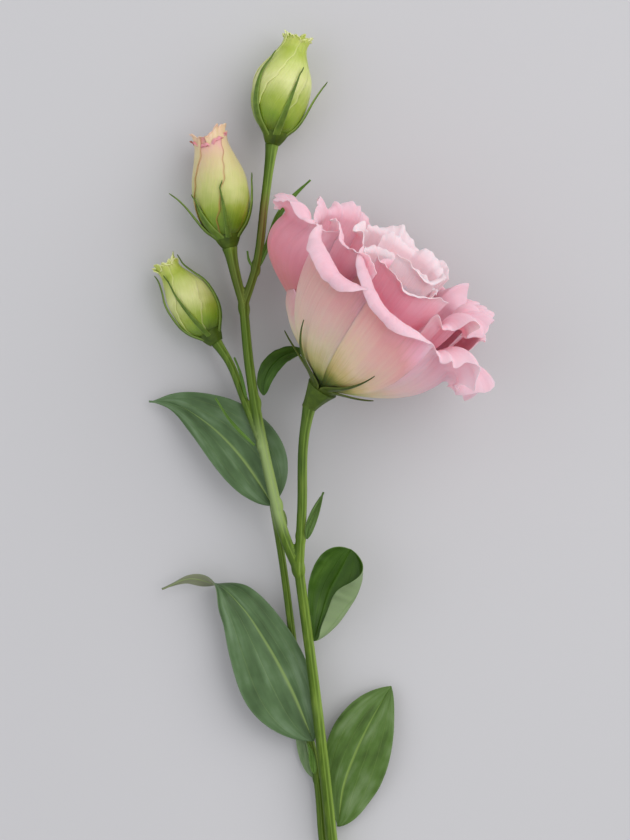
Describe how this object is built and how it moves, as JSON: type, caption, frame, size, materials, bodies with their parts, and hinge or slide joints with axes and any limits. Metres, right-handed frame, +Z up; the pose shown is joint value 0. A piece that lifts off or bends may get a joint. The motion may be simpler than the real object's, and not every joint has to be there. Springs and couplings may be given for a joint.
{
  "type": "cut lisianthus flower stem",
  "caption": "Cut branched lisianthus stem with an open double pink bloom, closed buds, leaves and bracts, lying on a surface as a decoration.",
  "frame": {"origin": "middle of the plant's box in X and Y, on the surface that it lies on", "axes": "+Y along the stem from its cut end towards the flowers, +Z up off the surface, +X to the side that the bloom faces"},
  "size_m": [0.0995, 0.2856, 0.0664],
  "materials": {
    "stem_green": "satin fresh green stem",
    "leaf_green": "satin grey-green leaf with a waxy bloom",
    "calyx_green": "satin dark green",
    "bud_green": "satin yellow-green petals still closed",
    "bud_cream": "satin cream petals with pink tips",
    "petal_pink": "soft matte pink petals, paler at the rims"
  },
  "bodies": {
    "root": {"stem": "stem_green", "bloom_corolla": "petal_pink", "bloom_calyx": "calyx_green", "top_bud_corolla": "bud_green", "top_bud_calyx": "calyx_green", "pink_bud_corolla": "bud_cream", "pink_bud_calyx": "calyx_green", "left_bud_corolla": "bud_green", "left_bud_calyx": "calyx_green", "leaf_lower_left": "leaf_green", "leaf_middle_left": "leaf_green", "leaf_round": "leaf_green", "leaf_lower_right": "leaf_green", "leaf_behind": "leaf_green", "leaf_slender": "leaf_green", "leaf_small": "leaf_green", "leaf_branch": "leaf_green", "leaf_narrow": "leaf_green", "bract_left": "leaf_green", "bract_branch": "leaf_green", "bract_upper": "leaf_green", "axil_bud": "stem_green"}
  },
  "joints": []
}
